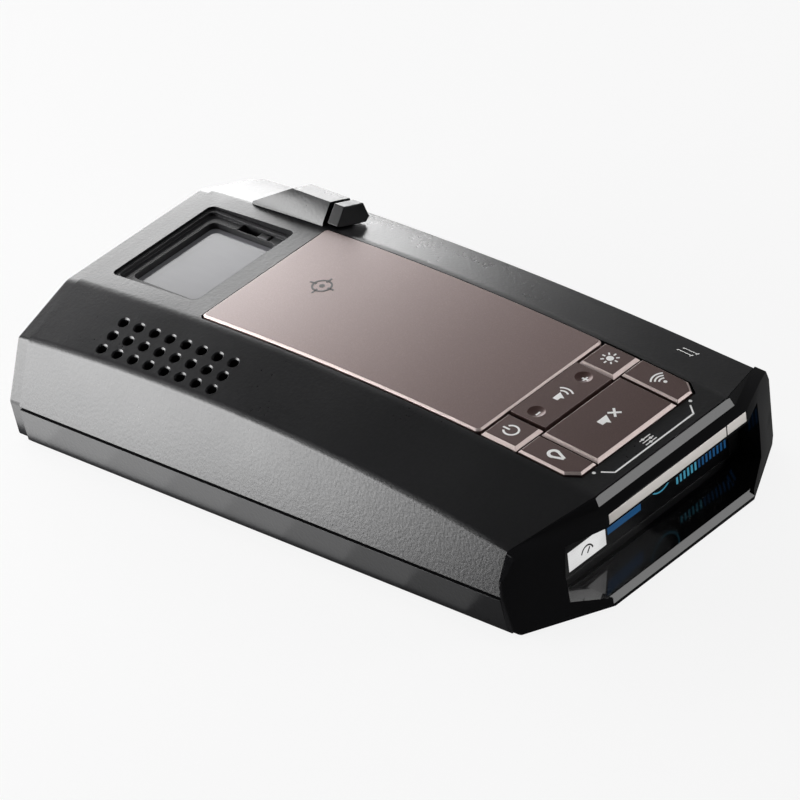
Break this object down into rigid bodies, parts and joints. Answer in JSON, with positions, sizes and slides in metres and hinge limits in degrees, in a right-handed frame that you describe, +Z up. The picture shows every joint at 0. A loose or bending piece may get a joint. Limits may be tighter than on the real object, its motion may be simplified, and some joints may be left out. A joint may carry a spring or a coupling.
{
  "type": "radar detector",
  "caption": "Dashboard radar detector: curved two-part case, gloss front bezel with hooded display, metal deck plate, push buttons, speaker grille and magnetic mount dock.",
  "frame": {"origin": "centre of the flat base, under the middle of the whole object", "axes": "+Z up, +Y away from the driver along the length, +X to the driver's right"},
  "size_m": [0.079, 0.134, 0.0323],
  "materials": {
    "case_plastic": "fine spark-eroded texture, satin charcoal",
    "gloss_black": "polished piano black",
    "bronze_metal": "satin bronze anodised",
    "bronze_keys": "satin bronze metallic paint with bright edges",
    "brow_metal": "satin",
    "lens_smoke": "smoked polished window",
    "black_plastic": "plain moulded",
    "silicone": "matt silicone",
    "steel": "plain bright",
    "horn_brass": "cast",
    "board": "solder mask",
    "ceramic": "fired ceramic",
    "flex": "polyimide film",
    "cone_paper": "treated paper and mesh",
    "laser_glass": "infrared filter",
    "label_paper": "blank satin label"
  },
  "bodies": {
    "case": {"top_case": "case_plastic", "bottom_case": "case_plastic", "front_bezel": "gloss_black", "brow_trim": "brow_metal", "rear_cover": "gloss_black", "deck_plate": "bronze_metal", "rocker_pin": "steel", "button_frame": "black_plastic", "button_mat": "silicone", "tact_switches": "steel", "keypad_board": "board", "dock_frame": "black_plastic", "dock_floor": "gloss_black", "dock_magnets": "steel", "display_lens": "lens_smoke", "display_panel": "lens_smoke", "display_holder": "black_plastic", "display_flex": "flex", "main_board": "board", "shield_can": "steel", "waveguide_block": "horn_brass", "horn_antenna": "horn_brass", "laser_sensor": "black_plastic", "laser_lens": "laser_glass", "gps_antenna": "ceramic", "gps_board": "board", "speaker_frame": "black_plastic", "speaker_cone": "cone_paper", "speaker_magnet": "steel", "speaker_mesh": "cone_paper", "port_panel": "black_plastic", "power_jack": "black_plastic", "earphone_jack": "black_plastic", "usb_socket": "steel", "case_screws": "steel", "board_screws": "steel", "rating_label": "label_paper"},
    "power": {"power_button": "bronze_keys"},
    "volume": {"volume_rocker": "bronze_keys"},
    "brightness": {"brightness_button": "bronze_keys"},
    "mark": {"mark_button": "bronze_keys"},
    "mute": {"mute_button": "bronze_keys"},
    "sensitivity": {"sensitivity_button": "bronze_keys"},
    "release": {"release_button": "gloss_black", "release_latch": "steel"}
  },
  "joints": [
    {"name": "power_press", "type": "slide", "parent": "case", "child": "power", "axis": [0, 0, -1], "range_m": [0, 0.0005], "stiffness_N_per_m": 300},
    {"name": "brightness_press", "type": "slide", "parent": "case", "child": "brightness", "axis": [0, 0, -1], "range_m": [0, 0.0005], "stiffness_N_per_m": 300},
    {"name": "mark_press", "type": "slide", "parent": "case", "child": "mark", "axis": [0, 0, -1], "range_m": [0, 0.0005], "stiffness_N_per_m": 300},
    {"name": "mute_press", "type": "slide", "parent": "case", "child": "mute", "axis": [0, 0, -1], "range_m": [0, 0.0005], "stiffness_N_per_m": 300},
    {"name": "sensitivity_press", "type": "slide", "parent": "case", "child": "sensitivity", "axis": [0, 0, -1], "range_m": [0, 0.0005], "stiffness_N_per_m": 300},
    {"name": "volume_rock", "type": "hinge", "parent": "case", "child": "volume", "pos_m": [0, -0.04005, 0.0206], "axis": [0, 1, 0], "range_deg": [-2.2, 2.2], "stiffness_Nm_per_rad": 0.01},
    {"name": "release_press", "type": "slide", "parent": "case", "child": "release", "axis": [0, 1, 0], "range_m": [0, 0.0008], "stiffness_N_per_m": 300}
  ]
}
